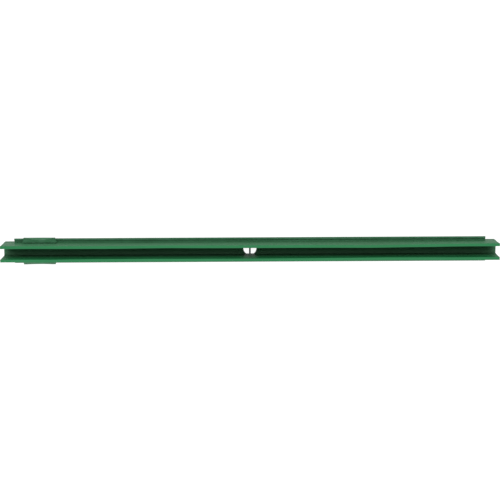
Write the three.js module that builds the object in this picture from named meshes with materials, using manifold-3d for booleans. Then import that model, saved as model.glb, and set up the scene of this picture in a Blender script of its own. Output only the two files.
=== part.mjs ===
// Double-lip replacement cassette for a floor squeegee.
// A rigid polypropylene carrier clips under the squeegee head, and two soft lips stand up from it.
// Millimetres. X runs along the bar, Y across it, Z up to the lip tips. The clip legs stand on Z = 0.
// "front" is the -Y side and "rear" the +Y side. The finger pads are at the -X end.
import * as THREE from "three";
import { ConvexGeometry } from "three/addons/geometries/ConvexGeometry.js";
import { mergeVertices } from "three/addons/utils/BufferGeometryUtils.js";
import Module from "manifold-3d";

const wasm = await Module();
wasm.setup();

// Overall
const LIP_LENGTH = 500;
const HEIGHT = 40;
const LIP_OVERHANG = 11; // how far the soft moulding runs past each end of the carrier

// Soft moulding
const LIP_THICKNESS = 2.8;
const LIP_GAP = 10.3; // clear width between the two lips
const TIP_CHAMFER = 0.25;
const WEB_THICKNESS = 3.3;
const FLEX_HEIGHT = 21; // height of the line that each lip bends about
const FLEX_CLEARANCE = 0.3;

// Rigid carrier
const LEG_HEIGHT = 10;
const LEG_THICKNESS = 1.9;
const CHANNEL_WIDTH = 14.4; // clear width between the clip legs
const LEG_INSET = 3.5; // the legs stop short of the carrier's ends
const PLATE_THICKNESS = 2.7;
const TONGUE_HALF_WIDTH = 8.3; // the floor past the rims' ends, under the overhanging soft moulding
const TONGUE_INSET = 0.6; // that floor stops this far inside the lips' ends
const RIM_HALF_WIDTH = 12.55;
const SHOULDER_Z = 15.6;
const SHOULDER_WIDTH = 2.3;
const RIM_EDGE = 0.6; // height of the rim's thin outer edge
const LEDGE_Z = 17.6;
const BEAD_TOP_Z = 19;
const BEAD_WIDTH = 1.9;
const BEAD_DRAFT = 0.1;

// Snap hooks on the clip legs
const HOOK_REACH = 1;
const HOOK_LENGTH = 22;
const HOOK_PITCH = 56;
const FIRST_HOOK_X = 30;
const HOOKS_EACH_WAY = 4;
const HOOK_LOW_Z = 0.4;
const HOOK_NOSE_Z = 1.8;
const HOOK_TOP_Z = 3;
const HOOK_ROOT = 0.5; // how far a hook's solid reaches into its leg before the two are joined

// Centre hole and rib
const HOLE_RADIUS = 6.6;
const HOLE_SEGMENTS = 40;
const RIB_THICKNESS = 1.5;
const RIB_LOW_Z = 2;

// Finger pads
const PAD_INNER_X = [-230.2, -195.3]; // ends of the pad next to the lip
const PAD_OUTER_X = [-229.4, -197.2]; // ends of the pad at its outer edge
const PAD_REACH = 13.6;
const PAD_TOP_Z = 22;
const PAD_NOSE_Z = 19.8;
const PAD_FOOT_GAP = 0.3; // the pad's foot stands this far off the lip
const PAD_TOP_GAP = 0.65; // and its top this far, so that the lip can flex outwards
const SCOOP_X = -212.6;
const SCOOP_DEPTH = 2; // how far the scoop cuts back the pad's top edge
const SCOOP_RADIUS = 64;
const SCOOP_LEAN = THREE.MathUtils.degToRad(49);
const SCOOP_SEGMENTS = 120;

// Worked out from the above
const CARRIER_LENGTH = LIP_LENGTH - 2 * LIP_OVERHANG;
const FLOOR_LENGTH = LIP_LENGTH - 2 * TONGUE_INSET;
const LEG_LENGTH = CARRIER_LENGTH - 2 * LEG_INSET;
const LIP_INNER = LIP_GAP / 2;
const LIP_OUTER = LIP_INNER + LIP_THICKNESS;
const LIP_CENTRE = (LIP_INNER + LIP_OUTER) / 2;
const LEG_INNER = CHANNEL_WIDTH / 2;
const LEG_OUTER = LEG_INNER + LEG_THICKNESS;
const WEB_LOW_Z = LEG_HEIGHT + PLATE_THICKNESS;
const WEB_TOP_Z = WEB_LOW_Z + WEB_THICKNESS;
const ROOT_TOP_Z = FLEX_HEIGHT - LIP_THICKNESS / 2 - FLEX_CLEARANCE;

const matte = (color, roughness) => new THREE.MeshStandardMaterial({ color, roughness, metalness: 0 });
const polypropylene = () => matte(0x2f7a4b, 0.42);
const softRubber = () => matte(0x358052, 0.5);

// A Shape across the bar, its x being Y and its y being Z, drawn out along X about X = 0.
function drawnOut(shape, length) {
  const geometry = new THREE.ExtrudeGeometry(shape, { depth: length, bevelEnabled: false });
  const alongX = new THREE.Matrix4().makeBasis(
    new THREE.Vector3(0, 1, 0),
    new THREE.Vector3(0, 0, 1),
    new THREE.Vector3(1, 0, 0),
  );
  return geometry.translate(0, 0, -length / 2).applyMatrix4(alongX);
}

// The same for a section given as [y, z] points.
const bar = (section, length) =>
  drawnOut(new THREE.Shape(section.map(([y, z]) => new THREE.Vector2(y, z))), length);

// A rectangle across the bar, from its inner to its outer y and its low to its high z.
const rectangle = (y0, y1, z0, z1) => [[y0, z0], [y1, z0], [y1, z1], [y0, z1]];

// The same section on the front (-1) or the rear (+1) side.
const onSide = (side, section) => section.map(([y, z]) => [side * y, z]);

function solid(geometry) {
  const bare = geometry.clone();
  bare.deleteAttribute("normal");
  bare.deleteAttribute("uv");
  const merged = mergeVertices(bare, 1e-4);
  return new wasm.Manifold(
    new wasm.Mesh({
      numProp: 3,
      vertProperties: merged.attributes.position.array,
      triVerts: new Uint32Array(merged.index.array),
    }),
  );
}

function geometryOf(manifold) {
  const mesh = manifold.getMesh();
  const geometry = new THREE.BufferGeometry();
  geometry.setAttribute("position", new THREE.BufferAttribute(mesh.vertProperties, 3));
  geometry.setIndex(new THREE.BufferAttribute(mesh.triVerts, 1));
  return geometry;
}

function piece(name, geometry, material) {
  const mesh = new THREE.Mesh(geometry, material());
  mesh.name = name;
  return mesh;
}

// An upright cutter of the centre hole's size, long enough to pass the plate or the web.
function holeCutter() {
  const height = 3 * (PLATE_THICKNESS + WEB_THICKNESS);
  const pin = new THREE.CylinderGeometry(HOLE_RADIUS, HOLE_RADIUS, height, HOLE_SEGMENTS);
  return pin.rotateX(Math.PI / 2).translate(0, 0, WEB_LOW_Z);
}

// The flat floor of the carrier, with the round centre hole. It is notched along its sides for the clip
// legs, and a tongue at each end carries the overhanging soft moulding.
function carrierPlate() {
  const outline = rectangle(-TONGUE_HALF_WIDTH, TONGUE_HALF_WIDTH, LEG_HEIGHT, WEB_LOW_Z);
  let floor = solid(bar(outline, FLOOR_LENGTH));
  for (const side of [-1, 1]) {
    const notch = rectangle(LEG_INNER, LEG_OUTER, LEG_HEIGHT - 1, WEB_LOW_Z + 1);
    floor = floor.subtract(solid(bar(onSide(side, notch), CARRIER_LENGTH)));
  }
  return piece("carrier_plate", geometryOf(floor.subtract(solid(holeCutter()))), polypropylene);
}

// The side rail of the carrier: a wall beside the soft web, a shoulder below, a ledge and a bead above.
function rim(name, side) {
  const section = [
    [LIP_OUTER, WEB_LOW_Z],
    [LEG_OUTER, WEB_LOW_Z],
    [LEG_OUTER, SHOULDER_Z],
    [LEG_OUTER + SHOULDER_WIDTH, SHOULDER_Z],
    [RIM_HALF_WIDTH, BEAD_TOP_Z - RIM_EDGE],
    [RIM_HALF_WIDTH, BEAD_TOP_Z],
    [RIM_HALF_WIDTH - BEAD_WIDTH, BEAD_TOP_Z],
    [RIM_HALF_WIDTH - BEAD_WIDTH - BEAD_DRAFT, LEDGE_Z],
    [LIP_OUTER, LEDGE_Z],
  ];
  return piece(name, bar(onSide(side, section), CARRIER_LENGTH), polypropylene);
}

// A clip leg with its row of inward snap hooks. Beside the floor it is as long as the carrier.
function clipLeg(name, side) {
  const hook = [
    [LEG_INNER + HOOK_ROOT, HOOK_LOW_Z],
    [LEG_INNER, HOOK_LOW_Z],
    [LEG_INNER - HOOK_REACH, HOOK_NOSE_Z],
    [LEG_INNER - HOOK_REACH, HOOK_TOP_Z],
    [LEG_INNER + HOOK_ROOT, HOOK_TOP_Z],
  ];
  const wall = bar(onSide(side, rectangle(LEG_INNER, LEG_OUTER, 0, WEB_LOW_Z)), LEG_LENGTH);
  const top = bar(onSide(side, rectangle(LEG_INNER, LEG_OUTER, LEG_HEIGHT, WEB_LOW_Z)), CARRIER_LENGTH);
  let leg = solid(wall).add(solid(top));
  for (let i = 0; i < HOOKS_EACH_WAY; i++) {
    for (const way of [-1, 1]) {
      const x = way * (FIRST_HOOK_X + i * HOOK_PITCH);
      leg = leg.add(solid(bar(onSide(side, hook), HOOK_LENGTH).translate(x, 0, 0)));
    }
  }
  return piece(name, geometryOf(leg), polypropylene);
}

// The locating rib that crosses the channel under the middle of the hole.
function centreRib() {
  const height = LEG_HEIGHT - RIB_LOW_Z;
  const rib = new THREE.BoxGeometry(RIB_THICKNESS, CHANNEL_WIDTH, height);
  return piece("centre_rib", rib.translate(0, 0, RIB_LOW_Z + height / 2), polypropylene);
}

// A finger pad on the rim: a block with slanted ends and a shallow scoop across its outer top edge.
function fingerPad(name, side) {
  const bead = RIM_HALF_WIDTH - BEAD_WIDTH;
  const profile = [
    [LIP_OUTER + PAD_FOOT_GAP, LEDGE_Z],
    [bead - BEAD_DRAFT, LEDGE_Z],
    [bead, BEAD_TOP_Z],
    [RIM_HALF_WIDTH, BEAD_TOP_Z],
    [PAD_REACH, PAD_NOSE_Z],
    [PAD_REACH, PAD_TOP_Z],
    [LIP_OUTER + PAD_TOP_GAP, PAD_TOP_Z],
  ];
  const length = PAD_INNER_X[1] - PAD_INNER_X[0];
  const block = bar(onSide(side, profile), length).translate(PAD_INNER_X[0] + length / 2, 0, 0);

  // The slanted ends: the pad is kept inside an upright wedge that narrows outwards.
  const corners = [];
  for (const z of [0, HEIGHT]) {
    for (const i of [0, 1]) {
      const slope = (PAD_OUTER_X[i] - PAD_INNER_X[i]) / (PAD_REACH - LIP_OUTER);
      for (const y of [0, 2 * PAD_REACH]) {
        corners.push(new THREE.Vector3(PAD_INNER_X[i] + slope * (y - LIP_OUTER), side * y, z));
      }
    }
  }
  const wedge = new ConvexGeometry(corners);

  // The scoop: a wide cylinder that leans outwards and down, its lowest line SCOOP_DEPTH behind the top edge.
  const lineY = PAD_REACH - SCOOP_DEPTH + SCOOP_RADIUS * Math.cos(SCOOP_LEAN);
  const lineZ = PAD_TOP_Z + SCOOP_RADIUS * Math.sin(SCOOP_LEAN);
  const scoop = new THREE.CylinderGeometry(SCOOP_RADIUS, SCOOP_RADIUS, 6 * PAD_REACH, SCOOP_SEGMENTS);
  scoop.rotateX(Math.PI / 2 + side * SCOOP_LEAN).translate(SCOOP_X, side * lineY, lineZ);

  const pad = solid(block).intersect(solid(wedge)).subtract(solid(scoop));
  return piece(name, geometryOf(pad), polypropylene);
}

// The soft strip that joins the two lips and lies on the carrier's plate.
function lipWeb() {
  const web = bar(rectangle(-LIP_OUTER, LIP_OUTER, WEB_LOW_Z, WEB_TOP_Z), LIP_LENGTH);
  const between = bar(rectangle(-LIP_INNER, LIP_INNER, 0, HEIGHT), 4 * HOLE_RADIUS);
  const cutter = solid(holeCutter()).intersect(solid(between));
  return piece("lip_web", geometryOf(solid(web).subtract(cutter)), softRubber);
}

// The foot of a lip, held between the web and the rim, up to the line where the lip bends.
function lipRoot(name, side) {
  const section = rectangle(LIP_INNER, LIP_OUTER, WEB_TOP_Z, ROOT_TOP_Z);
  return piece(name, bar(onSide(side, section), LIP_LENGTH), softRubber);
}

// A free lip. Its lower edge is round about the bending line, and its tip is square with broken corners.
function lip(name, side) {
  const radius = LIP_THICKNESS / 2;
  const section = new THREE.Shape();
  section.moveTo(side * LIP_CENTRE + radius, HEIGHT - TIP_CHAMFER);
  section.lineTo(side * LIP_CENTRE + radius - TIP_CHAMFER, HEIGHT);
  section.lineTo(side * LIP_CENTRE - radius + TIP_CHAMFER, HEIGHT);
  section.lineTo(side * LIP_CENTRE - radius, HEIGHT - TIP_CHAMFER);
  section.absarc(side * LIP_CENTRE, FLEX_HEIGHT, radius, Math.PI, 2 * Math.PI, false);
  return piece(name, drawnOut(section, LIP_LENGTH), softRubber);
}

const cassette = new THREE.Group();
const FRONT = -1;
const REAR = 1;

const carrier = new THREE.Group();
carrier.add(carrierPlate(), centreRib());
for (const [place, side] of [["front", FRONT], ["rear", REAR]]) {
  carrier.add(
    rim(`${place}_rim`, side),
    clipLeg(`${place}_clip_leg`, side),
    fingerPad(`${place}_finger_pad`, side),
  );
}

const softMoulding = new THREE.Group();
softMoulding.add(lipWeb());
for (const [place, side] of [["front", FRONT], ["rear", REAR]]) {
  softMoulding.add(lipRoot(`${place}_lip_root`, side), lip(`${place}_lip`, side));
}

cassette.add(carrier, softMoulding);

export default cassette;
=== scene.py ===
import math

import bmesh
import bpy
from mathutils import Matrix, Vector


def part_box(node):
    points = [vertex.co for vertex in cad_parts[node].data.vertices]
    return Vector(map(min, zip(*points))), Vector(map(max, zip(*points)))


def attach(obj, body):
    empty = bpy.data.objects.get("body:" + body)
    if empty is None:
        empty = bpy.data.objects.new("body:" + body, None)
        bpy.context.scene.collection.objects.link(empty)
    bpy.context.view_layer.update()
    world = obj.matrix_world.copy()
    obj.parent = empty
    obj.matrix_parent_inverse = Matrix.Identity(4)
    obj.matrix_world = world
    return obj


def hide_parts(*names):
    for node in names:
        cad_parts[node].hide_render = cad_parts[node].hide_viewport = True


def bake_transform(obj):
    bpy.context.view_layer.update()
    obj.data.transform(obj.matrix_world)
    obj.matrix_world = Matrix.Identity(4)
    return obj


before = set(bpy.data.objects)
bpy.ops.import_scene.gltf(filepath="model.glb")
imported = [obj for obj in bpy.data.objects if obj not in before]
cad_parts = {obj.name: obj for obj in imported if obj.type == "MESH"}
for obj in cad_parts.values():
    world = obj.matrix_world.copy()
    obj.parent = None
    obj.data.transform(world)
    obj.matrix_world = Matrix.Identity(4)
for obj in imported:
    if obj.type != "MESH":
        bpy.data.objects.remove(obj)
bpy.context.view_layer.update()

# ---------------------------------------------------------------------------
# Camera. It looks down on the lip tips from a little to the rear of the bar, so
# that the rear rim, the web between the lips and the hole through it all show.
# ---------------------------------------------------------------------------
tip_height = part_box("rear_lip")[1].z
camera_tilt = math.radians(10.0)
camera_distance = 1.6064
camera_roll = math.radians(-0.29)
aim = Vector((0.00012, 0.00328, tip_height))

bpy.ops.object.camera_add(
    location=aim + camera_distance * Vector((0, math.sin(camera_tilt), math.cos(camera_tilt)))
)
camera = bpy.context.object
camera.name = "main_camera"
camera.rotation_mode = "ZXY"
camera.rotation_euler = (-camera_tilt, 0, camera_roll)
camera.data.lens = 115.4
camera.data.sensor_width = 36.0
camera.data.clip_start = 0.01
bpy.context.scene.camera = camera


# ---------------------------------------------------------------------------
# Studio. A pale floor that glows a little, so that it stays white and is bright
# under the bar, a light grey surround, and a long soft panel to each side.
# ---------------------------------------------------------------------------
class Socket:
    """A shader socket that Python's operators can do sums with."""

    tree = None

    def __init__(self, socket):
        self.socket = socket

    @classmethod
    def node(cls, kind, settings=None, inputs=None, output=0):
        """Adds a node: its settings come first, then the values or links of its sockets."""
        made = cls.tree.nodes.new(kind)
        for name, value in (settings or {}).items():
            if name == "stops":
                ramp = made.color_ramp
                while len(ramp.elements) < len(value):
                    ramp.elements.new(1.0)
                for element, (position, colour) in zip(ramp.elements, value):
                    element.position, element.color = position, colour
            else:
                setattr(made, name, value)
        for name, value in (inputs or {}).items():
            if isinstance(value, Socket):
                cls.tree.links.new(value.socket, made.inputs[name])
            else:
                made.inputs[name].default_value = value
        return Socket(made.outputs[output])

    def sum_with(self, operation, other, reflected=False):
        first, second = (other, self) if reflected else (self, other)
        return Socket.node("ShaderNodeMath", {"operation": operation}, {0: first, 1: second})

    def __add__(self, other): return self.sum_with("ADD", other)
    def __radd__(self, other): return self.sum_with("ADD", other, True)
    def __rsub__(self, other): return self.sum_with("SUBTRACT", other, True)
    def __mul__(self, other): return self.sum_with("MULTIPLY", other)
    def __rmul__(self, other): return self.sum_with("MULTIPLY", other, True)


def new_material(name):
    """An empty material with its Principled shader, and the tree that Socket adds nodes to."""
    material = bpy.data.materials.new(name)
    material.use_nodes = True
    Socket.tree = material.node_tree
    return material, material.node_tree.nodes["Principled BSDF"]


def feed(shader, name, value):
    """Links a value to one of the shader's sockets, or sets it."""
    if isinstance(value, Socket):
        Socket.tree.links.new(value.socket, shader.inputs[name])
    else:
        shader.inputs[name].default_value = value


def step_between(value, low, high):
    """Rises smoothly from 0 to 1 as the value goes from low to high."""
    return Socket.node(
        "ShaderNodeMapRange", {"interpolation_type": "SMOOTHSTEP"},
        {"Value": value, "From Min": low, "From Max": high},
    )


def blend_colours(share, first, second):
    """Goes from the first colour to the second as the share goes from 0 to 1."""
    return Socket.node("ShaderNodeMix", {"data_type": "RGBA"}, {0: share, 6: first, 7: second}, output=2)


floor_size = 12.0
floor_drop = 0.00005
fade_start = 1.2
fade_end = 5.8
bpy.ops.mesh.primitive_plane_add(size=floor_size, location=(0, 0, -floor_drop))
floor = bpy.context.object
floor.name = "floor"
floor_paint, shader = new_material("pale_floor")
place = Socket.node("ShaderNodeTexCoord", output="Object")
distance_out = Socket.node("ShaderNodeVectorMath", {"operation": "LENGTH"}, {0: place}, output="Value")
far = step_between(distance_out, fade_start, fade_end)
feed(shader, "Base Color", (0.08, 0.08, 0.08, 1))
feed(shader, "Roughness", 0.9)
feed(shader, "Specular IOR Level", 0.1)
feed(shader, "Emission Color", blend_colours(far, (1, 1, 1, 1), (0.76, 0.76, 0.76, 1)))
feed(shader, "Emission Strength", 0.98)
floor.data.materials.append(floor_paint)

world = bpy.data.worlds.new("light_surround")
bpy.context.scene.world = world
world.use_nodes = True
surround = world.node_tree.nodes["Background"]
surround.inputs["Color"].default_value = (1, 1, 1, 1)
surround.inputs["Strength"].default_value = 0.8


def soft_panel(name, lean, distance, width, length, radiance):
    """A long soft light over the bar, leaning away from straight up, that faces the bar."""
    place = Vector((0, distance * math.sin(lean), distance * math.cos(lean)))
    bpy.ops.object.light_add(type="AREA", location=place, rotation=(-lean, 0, 0))
    panel = bpy.context.object
    panel.name = name
    panel.data.shape = "RECTANGLE"
    panel.data.size = length
    panel.data.size_y = width
    panel.data.energy = radiance * math.pi * width * length


panel_lean = math.radians(38)
for name, lean, radiance in (("front_panel", -panel_lean, 4.7), ("rear_panel", panel_lean, 4.3)):
    soft_panel(name, lean, distance=1.9, width=1.0, length=3.0, radiance=radiance)

bpy.context.scene.view_settings.view_transform = "Standard"


# ---------------------------------------------------------------------------
# Carrier tray. One injection moulding in polypropylene: a flat floor with the
# round centre hole, a rail with a ledge and a raised bead along each side, and
# two clip legs below whose snap hooks grip the rail of the squeegee head.
# ---------------------------------------------------------------------------
MM = 0.001


def start_editing(obj):
    """Deselects everything else and opens obj in edit mode, with faces as the choice."""
    if bpy.context.object and bpy.context.object.mode != "OBJECT":
        bpy.ops.object.mode_set(mode="OBJECT")
    bpy.ops.object.select_all(action="DESELECT")
    bpy.context.view_layer.objects.active = obj
    obj.select_set(True)
    bpy.ops.object.mode_set(mode="EDIT")
    bpy.ops.mesh.select_mode(type="FACE")
    bpy.ops.mesh.select_all(action="DESELECT")


def choose(obj, kind, test):
    """Selects the faces, edges or verts of obj, in edit mode, that test says yes to."""
    bpy.ops.mesh.select_mode(type={"faces": "FACE", "edges": "EDGE", "verts": "VERT"}[kind])
    bpy.ops.mesh.select_all(action="DESELECT")
    mesh = bmesh.from_edit_mesh(obj.data)
    for element in getattr(mesh, kind):
        if test(element):
            element.select_set(True)
    mesh.select_flush_mode()
    bmesh.update_edit_mesh(obj.data)


def block(name, low, high):
    """A box from its low to its high corner, its place in its mesh."""
    bpy.ops.object.select_all(action="DESELECT")
    size = Vector(high) - Vector(low)
    bpy.ops.mesh.primitive_cube_add(size=1, location=(Vector(low) + Vector(high)) / 2)
    made = bpy.context.object
    made.name = made.data.name = name
    made.scale = size
    bpy.ops.object.transform_apply(location=True, rotation=True, scale=True)
    return made


def slice_at(axis, places):
    """Cuts the open mesh with planes across an axis."""
    for place in places:
        bpy.ops.mesh.select_all(action="SELECT")
        point, normal = [0, 0, 0], [0, 0, 0]
        point[axis], normal[axis] = place, 1
        bpy.ops.mesh.bisect(plane_co=point, plane_no=normal)


def extrude(move):
    """Extrudes the chosen faces by a move."""
    bpy.ops.mesh.extrude_region_move(TRANSFORM_OT_translate={"value": move})


def apply(obj, kind, **settings):
    """Adds a modifier to obj with those settings and applies it."""
    if bpy.context.object and bpy.context.object.mode != "OBJECT":
        bpy.ops.object.mode_set(mode="OBJECT")
    bpy.ops.object.select_all(action="DESELECT")
    bpy.context.view_layer.objects.active = obj
    obj.select_set(True)
    bpy.ops.object.modifier_add(type=kind)
    modifier = obj.modifiers[-1]
    for name, value in settings.items():
        setattr(modifier, name, value)
    bpy.ops.object.modifier_apply(modifier=modifier.name)


def cut_away(obj, cutter):
    """Cuts the cutter's shape out of obj, and removes the cutter."""
    apply(obj, "BOOLEAN", operation="DIFFERENCE", solver="EXACT", object=cutter)
    bpy.data.objects.remove(cutter)


def tidy_up(obj):
    """Merges doubles and turns all faces outwards."""
    start_editing(obj)
    bpy.ops.mesh.select_all(action="SELECT")
    bpy.ops.mesh.remove_doubles(threshold=0.01 * MM)
    bpy.ops.mesh.normals_make_consistent(inside=False)
    bpy.ops.object.mode_set(mode="OBJECT")


def soften(obj, radius, segments=3, angle=40):
    """
    Rounds every edge sharper than the angle, clears slivers and shades flat faces flat.
    The piece's narrowest face holds the rounding back, on the tray and the blades to about 0.03 mm.
    """
    apply(
        obj, "BEVEL", width=radius, segments=segments, limit_method="ANGLE",
        angle_limit=math.radians(angle), harden_normals=False,
    )
    start_editing(obj)
    bpy.ops.mesh.select_all(action="SELECT")
    bpy.ops.mesh.dissolve_degenerate(threshold=0.06 * MM)
    bpy.ops.object.mode_set(mode="OBJECT")
    bpy.ops.object.shade_smooth_by_angle(angle=math.radians(35))
    apply(obj, "WEIGHTED_NORMAL", keep_sharp=True)


def near(value, place, slack=0.02 * MM):
    """Whether a value is at a place, give or take the slack."""
    return abs(value - place) < slack


plate_low, plate_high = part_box("carrier_plate")
rim_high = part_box("rear_rim")[1]
web_low, web_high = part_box("lip_web")
leg_low, leg_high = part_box("rear_clip_leg")
leg_inset = 3.5 * MM
tongue_y = plate_high.y
tongue_step = 0.4 * MM
shoulder_z = 15.6 * MM
shoulder_y = 11.4 * MM
ledge_z = 17.6 * MM
bead_y = 10.6 * MM
rim_edge = 0.6 * MM
hole_radius = 6.6 * MM
hook_reach = 1.0 * MM
channel_y = leg_low.y + hook_reach
hook_z = (0.4 * MM, 1.8 * MM, 3.0 * MM)
hook_lead = 0.9 * hook_reach
hook_length = 22 * MM
first_hook, hook_pitch, hooks_each_way = 30 * MM, 56 * MM, 4
hook_places = [way * (first_hook + hook_pitch * i) for i in range(hooks_each_way) for way in (-1, 1)]

tray = block("carrier_tray", (plate_low.x, 0, plate_low.z), (plate_high.x, leg_high.y, plate_high.z))
start_editing(tray)
slice_at(0, [way * (rim_high.x + step) for way in (-1, 1) for step in (-leg_inset, 0, tongue_step)])
slice_at(0, [x + way * hook_length / 2 for x in hook_places for way in (-1, 1)])
slice_at(1, [channel_y, web_high.y])
choose(
    tray, "faces",
    lambda f: f.normal.z > 0.9
    and f.calc_center_median().y > web_high.y
    and abs(f.calc_center_median().x) < rim_high.x,
)
extrude((0, 0, shoulder_z - plate_high.z))
extrude((0, 0, ledge_z - shoulder_z))
choose(tray, "faces", lambda f: f.normal.y > 0.9 and f.calc_center_median().z > shoulder_z)
extrude((0, bead_y - leg_high.y, 0))
extrude((0, rim_high.y - bead_y, 0))
choose(tray, "faces", lambda f: f.normal.z > 0.9 and f.calc_center_median().y > bead_y)
extrude((0, 0, rim_high.z - ledge_z))
choose(tray, "verts", lambda v: near(v.co.y, rim_high.y) and near(v.co.z, shoulder_z))
bpy.ops.transform.translate(value=(0, shoulder_y - rim_high.y, 0))
choose(tray, "verts", lambda v: near(v.co.y, rim_high.y) and near(v.co.z, ledge_z))
bpy.ops.transform.translate(value=(0, 0, rim_high.z - rim_edge - ledge_z))
choose(tray, "verts", lambda v: near(v.co.y, leg_high.y) and abs(v.co.x) > rim_high.x + tongue_step / 2)
bpy.ops.transform.translate(value=(0, tongue_y - leg_high.y, 0))

choose(
    tray, "faces",
    lambda f: f.normal.z < -0.9
    and f.calc_center_median().y > channel_y
    and near(f.calc_center_median().z, plate_low.z)
    and abs(f.calc_center_median().x) < rim_high.x - leg_inset,
)
for drop in (plate_low.z - hook_z[2], hook_z[2] - hook_z[1], hook_z[1] - hook_z[0], hook_z[0]):
    extrude((0, 0, -drop))
choose(
    tray, "faces",
    lambda f: f.normal.y < -0.9
    and hook_z[0] < f.calc_center_median().z < hook_z[2]
    and any(abs(f.calc_center_median().x - x) < hook_length / 2 for x in hook_places),
)
extrude((0, -hook_reach, 0))
choose(tray, "verts", lambda v: near(v.co.y, channel_y - hook_reach) and near(v.co.z, hook_z[0]))
bpy.ops.transform.translate(value=(0, hook_lead, 0))

choose(tray, "faces", lambda f: near(f.calc_center_median().y, 0))
bpy.ops.mesh.delete(type="FACE")
bpy.ops.object.mode_set(mode="OBJECT")
apply(tray, "MIRROR", use_axis=(False, True, False), use_clip=True)
tidy_up(tray)

bpy.ops.object.select_all(action="DESELECT")
bpy.ops.mesh.primitive_cylinder_add(
    vertices=96, radius=hole_radius, depth=20 * MM, location=(0, 0, plate_high.z)
)
cut_away(tray, bpy.context.object)
soften(tray, 0.25 * MM)


def mottle(scale, detail=2.0, stretch=(1, 1, 1)):
    """Soft noise over the piece, from 0 to 1. A stretch below 1 draws it out along that axis."""
    place = Socket.node("ShaderNodeTexCoord", output="Object")
    drawn = Socket.node("ShaderNodeMapping", inputs={"Vector": place, "Scale": stretch})
    return Socket.node("ShaderNodeTexNoise", inputs={"Vector": drawn, "Scale": scale, "Detail": detail})


def height_above_floor():
    """How high a point of the piece is, in metres."""
    place = Socket.node("ShaderNodeTexCoord", output="Object")
    return Socket.node("ShaderNodeSeparateXYZ", inputs={0: place}, output="Z")


green_plastic, shader = new_material("moulded_polypropylene")
pigment = mottle(60, detail=4) * 0.6 + mottle(30, detail=3, stretch=(0.15, 1, 1)) * 0.4
flow_lines = mottle(900, detail=2, stretch=(0.02, 1, 1))
spark_grain = mottle(2600, detail=3)
scuffs = step_between(mottle(500, detail=4, stretch=(0.12, 1, 1)), 0.58, 0.72)
bead_top = step_between(height_above_floor(), rim_high.z - 0.3 * MM, rim_high.z)
bead_wear = bead_top * step_between(mottle(220, detail=3), 0.42, 0.6)
colour = Socket.node(
    "ShaderNodeValToRGB",
    {"stops": [
        (0.3, (0.010, 0.077, 0.028, 1)), (0.5, (0.013, 0.091, 0.034, 1)), (0.7, (0.016, 0.104, 0.040, 1)),
    ]},
    {"Fac": pigment},
)
colour = blend_colours(scuffs * 0.35, colour, (0.030, 0.115, 0.058, 1))
colour = blend_colours(bead_wear * 0.3, colour, (0.045, 0.135, 0.078, 1))
feed(shader, "Base Color", colour)
feed(shader, "Roughness", 0.36 + spark_grain * 0.12 + scuffs * 0.1)
feed(shader, "Specular IOR Level", 0.4)
surface = Socket.node(
    "ShaderNodeBump", inputs={"Strength": 0.35, "Distance": 0.00006, "Height": spark_grain + flow_lines * 0.5}
)
feed(shader, "Normal", surface)
tray.data.materials.append(green_plastic)
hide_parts("carrier_plate", "front_rim", "rear_rim", "front_clip_leg", "rear_clip_leg")
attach(tray, "carrier")


# ---------------------------------------------------------------------------
# Cross rib. A thin web between the clip legs, under the middle of the hole,
# that stops the cassette from sliding along its rail.
# ---------------------------------------------------------------------------
rib_low, rib_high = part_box("centre_rib")
rib_extra = 0.1 * MM  # added to each face
rib_root = 0.3 * MM  # how far each end runs into its leg
rib_gap = 0.05 * MM  # below the floor
rib = block(
    "cross_rib",
    rib_low - Vector((rib_extra, rib_root, 0)),
    rib_high + Vector((rib_extra, rib_root, -rib_gap)),
)
soften(rib, 0.2 * MM, segments=2)
rib.data.materials.append(green_plastic)
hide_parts("centre_rib")
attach(rib, "carrier")


# ---------------------------------------------------------------------------
# Finger pads. Moulded blocks on the rails near one end, each scooped across
# its outer top edge, for pulling the cassette off the squeegee head.
# ---------------------------------------------------------------------------
pad_low, pad_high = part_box("rear_finger_pad")
pad_foot = 0.25 * MM  # how far the pad reaches into the rail
pad_nose = 0.8 * MM  # from the bead's top to the pad's outer face
pad_undercut = 0.3 * MM  # the pad's foot stands this far inside the rail's edge
pad_back = 0.35 * MM  # its inner top edge leans this far from the lip
left_slant, right_slant = 0.8 * MM, 1.9 * MM
outer_part = 10 * MM  # points further out than this belong to the pad's outer face
pad = block("finger_pad_rear", (pad_low.x, pad_low.y, ledge_z - pad_foot), pad_high)
start_editing(pad)
slice_at(2, [rim_high.z - pad_foot, rim_high.z + pad_nose])
choose(pad, "verts", lambda v: v.co.y > outer_part and v.co.z < rim_high.z)
bpy.ops.transform.translate(value=(0, rim_high.y - pad_undercut - pad_high.y, 0))
choose(pad, "verts", lambda v: near(v.co.y, pad_low.y) and near(v.co.z, pad_high.z))
bpy.ops.transform.translate(value=(0, pad_back, 0))
choose(pad, "verts", lambda v: v.co.y > outer_part and near(v.co.x, pad_low.x))
bpy.ops.transform.translate(value=(left_slant, 0, 0))
choose(pad, "verts", lambda v: v.co.y > outer_part and near(v.co.x, pad_high.x))
bpy.ops.transform.translate(value=(-right_slant, 0, 0))
bpy.ops.object.mode_set(mode="OBJECT")

scoop_x = -212.6 * MM
scoop_radius = 64 * MM
scoop_lean = math.radians(49)
scoop_depth = 2.0 * MM
bpy.ops.object.select_all(action="DESELECT")
bpy.ops.mesh.primitive_cylinder_add(
    vertices=360,
    radius=scoop_radius,
    depth=80 * MM,
    location=(
        scoop_x,
        pad_high.y - scoop_depth + scoop_radius * math.cos(scoop_lean),
        pad_high.z + scoop_radius * math.sin(scoop_lean),
    ),
    rotation=(scoop_lean, 0, 0),
)
cut_away(pad, bpy.context.object)
soften(pad, 0.22 * MM, segments=3, angle=25)
pad.data.materials.append(green_plastic)

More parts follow.
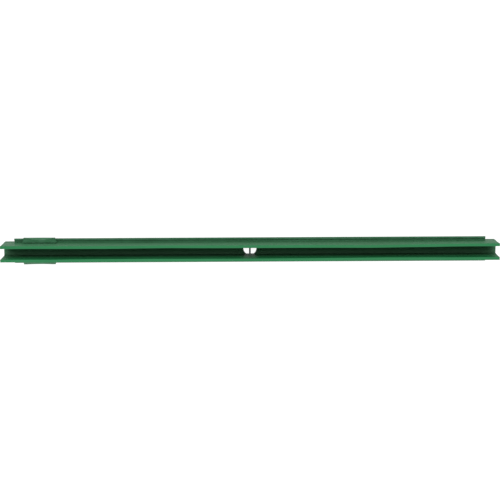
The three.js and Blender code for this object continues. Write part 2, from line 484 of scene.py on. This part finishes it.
bpy.ops.object.select_all(action="DESELECT")
pad.select_set(True)
bpy.context.view_layer.objects.active = pad
bpy.ops.object.duplicate()
front_pad = bpy.context.object
front_pad.name = front_pad.data.name = "finger_pad_front"
bpy.ops.transform.resize(value=(1, -1, 1), center_override=(0, 0, 0))
bpy.ops.object.transform_apply(location=True, rotation=True, scale=True)
tidy_up(front_pad)
for side, made in (("front", front_pad), ("rear", pad)):
    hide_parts(side + "_finger_pad")
    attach(made, "carrier")


# ---------------------------------------------------------------------------
# Blades. One soft rubber moulding: a web that lies on the tray, and a lip up
# each side. It is made whole, then parted along its middle, because each lip
# flexes on its own.
# ---------------------------------------------------------------------------
lip_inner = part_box("rear_lip")[0].y
low_slices = [ledge_z + i * 0.8 * MM for i in range(14)]
high_slices = [(30 + 2 * i) * MM for i in range(5)]
cross_slices = [i * 10 * MM for i in range(-24, 25)]
rubber = block("blade_rear", (web_low.x, 0, web_low.z), (web_high.x, web_high.y, web_high.z))
start_editing(rubber)
slice_at(1, [lip_inner])
choose(rubber, "faces", lambda f: f.normal.z > 0.9 and f.calc_center_median().y > lip_inner)
extrude((0, 0, tip_height - web_high.z))
slice_at(2, low_slices + high_slices)
slice_at(0, cross_slices)
choose(rubber, "faces", lambda f: near(f.calc_center_median().y, 0))
bpy.ops.mesh.delete(type="FACE")
bpy.ops.object.mode_set(mode="OBJECT")
apply(rubber, "MIRROR", use_axis=(False, True, False), use_clip=True)
tidy_up(rubber)


# The soft lips are never quite straight. At each place along the bar, in mm from
# its middle, a lip's tip stands this far to the rear, in mm.
rear_sway = [
    (-250, 0.3), (-220, 0.3), (-180, 0.12), (-140, 0.0), (-100, 0.37), (-80, 0.49), (-60, 0.26),
    (-20, 0.1), (60, 0.09), (100, -0.1), (120, -0.27), (140, -0.08), (160, 0.2), (180, 0.3),
    (200, 0.6), (220, 0.75), (250, 0.75),
]
front_sway = [
    (-250, -0.25), (-225, -0.3), (-200, -0.45), (-180, -0.28), (-140, -0.15), (-100, -0.12),
    (-60, -0.3), (0, -0.35),
    (60, -0.28), (100, -0.1), (120, 0.05), (140, 0.15), (160, 0.06), (180, 0.0), (200, -0.1), (250, -0.15),
]


def sway_at(x, stations):
    """The sway in metres at x, eased from one station to the next."""
    for (x0, s0), (x1, s1) in zip(stations, stations[1:]):
        if x <= x1 * MM:
            part = min(max((x / MM - x0) / (x1 - x0), 0.0), 1.0)
            return (s0 + (s1 - s0) * (0.5 - 0.5 * math.cos(math.pi * part))) * MM
    return stations[-1][1] * MM


corner_stretch = 0.75 * MM  # how far the top corners of the lip ends stand out
end_part = 249 * MM
for vertex in rubber.data.vertices:
    rise = (vertex.co.z - ledge_z) / (tip_height - ledge_z)
    if rise > 0:
        stations = rear_sway if vertex.co.y > 0 else front_sway
        vertex.co.y += sway_at(vertex.co.x, stations) * rise ** 1.5
        if abs(vertex.co.x) > end_part:
            vertex.co.x += math.copysign(corner_stretch * rise ** 3, vertex.co.x)

bpy.ops.object.select_all(action="DESELECT")
bpy.ops.mesh.primitive_cylinder_add(
    vertices=96, radius=hole_radius, depth=10 * MM, location=(0, 0, web_high.z)
)
peg = bpy.context.object
start_editing(peg)
for side in (-1, 1):
    bpy.ops.mesh.select_all(action="SELECT")
    bpy.ops.mesh.bisect(
        plane_co=(0, side * lip_inner, 0), plane_no=(0, side, 0), use_fill=True, clear_outer=True
    )
bpy.ops.object.mode_set(mode="OBJECT")
cut_away(rubber, peg)
soften(rubber, 0.22 * MM, segments=2, angle=60)

green_rubber, shader = new_material("soft_rubber")
# Hazy streaks drawn out along the bar: partly the rubber's own bloom, partly painted sheen. The lighter
# patches stand in for reflected light on the lips, and the streaks also vary the roughness.
bloom_and_painted_sheen = step_between(mottle(45, detail=5, stretch=(0.4, 1, 1)), 0.45, 0.75)
moulding_lines = mottle(1100, detail=2, stretch=(0.01, 1, 1))
fine_matt = mottle(3200, detail=2)
specks = step_between(mottle(650, detail=2), 0.70, 0.78)
tip_band = step_between(height_above_floor(), tip_height - 0.9 * MM, tip_height)
tip_wear = tip_band * mottle(180, detail=4)
colour = Socket.node(
    "ShaderNodeValToRGB",
    {"stops": [
        (0.3, (0.0035, 0.084, 0.025, 1)), (0.5, (0.0045, 0.091, 0.028, 1)), (0.7, (0.006, 0.098, 0.031, 1)),
    ]},
    {"Fac": mottle(35, detail=4, stretch=(0.3, 1, 1))},
)
# Painted sheen mixed with bloom: the lighter streaks stand in partly for patches of reflected light along the
# lips.
colour = blend_colours(bloom_and_painted_sheen * 0.10, colour, (0.03, 0.12, 0.06, 1))
# Painted sheen: from the web up to 38 mm above the floor, the rubber is mixed towards a lighter, greyer
# green, most at the bottom and in patches. It stands in for grey reflected light down between the lips and on
# their lower faces.
painted_sheen_low_mask = 1 - step_between(height_above_floor(), 17 * MM, 38 * MM)
painted_grey_sheen = painted_sheen_low_mask * (0.7 + 0.3 * mottle(120, detail=4))
colour = blend_colours(painted_grey_sheen * 0.45, colour, (0.065, 0.115, 0.075, 1))
colour = blend_colours(tip_wear * 0.25, colour, (0.015, 0.115, 0.045, 1))
colour = blend_colours(specks * 0.25, colour, (0.05, 0.13, 0.08, 1))
feed(shader, "Base Color", colour)
feed(shader, "Roughness", 0.52 + fine_matt * 0.08 + bloom_and_painted_sheen * 0.08)
feed(shader, "Specular IOR Level", 0.2)
surface = Socket.node(
    "ShaderNodeBump",
    inputs={"Strength": 0.3, "Distance": 0.00005, "Height": moulding_lines + fine_matt * 0.6},
)
feed(shader, "Normal", surface)
rubber.data.materials.append(green_rubber)

bpy.ops.object.select_all(action="DESELECT")
rubber.select_set(True)
bpy.context.view_layer.objects.active = rubber
bpy.ops.object.duplicate()
front_blade = bpy.context.object
front_blade.name = front_blade.data.name = "blade_front"
for side, made, direction in (("front", front_blade, 1), ("rear", rubber, -1)):
    start_editing(made)
    bpy.ops.mesh.select_all(action="SELECT")
    bpy.ops.mesh.bisect(plane_co=(0, 0, 0), plane_no=(0, direction, 0), use_fill=True, clear_outer=True)
    bpy.ops.object.mode_set(mode="OBJECT")
    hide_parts(side + "_lip", side + "_lip_root", "lip_web")
    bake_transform(made)
